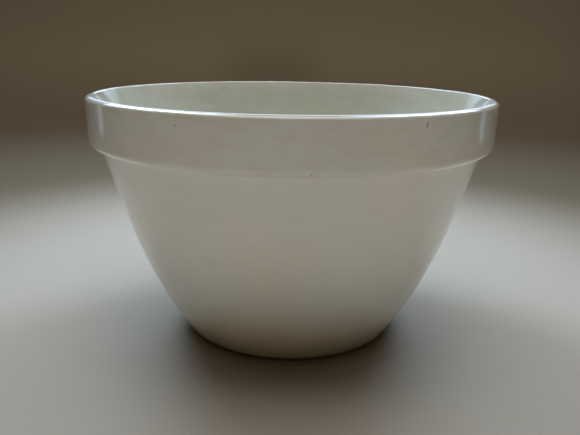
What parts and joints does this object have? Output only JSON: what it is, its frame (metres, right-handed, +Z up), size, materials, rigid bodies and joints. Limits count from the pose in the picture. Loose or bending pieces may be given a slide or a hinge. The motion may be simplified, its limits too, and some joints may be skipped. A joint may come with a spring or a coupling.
{
  "type": "pudding bowl",
  "caption": "Round glazed earthenware pudding basin with a tapered wall, a tall collar under a rounded lip to tie a cloth round, and a bare foot ring to stand on.",
  "frame": {"origin": "middle of the foot ring, on the surface that the basin stands on", "axes": "+Z up along the basin's axis of revolution, X and Y level; the picture is taken from the -Y side"},
  "size_m": [0.19, 0.19, 0.114],
  "materials": {
    "fired_clay": "bare fired earthenware, matt and slightly gritty",
    "ivory_glaze": "glossy ivory glaze with a few iron specks"
  },
  "bodies": {
    "root": {"clay_body": "fired_clay", "glaze_coat": "ivory_glaze", "underside_glaze": "ivory_glaze"}
  },
  "joints": []
}
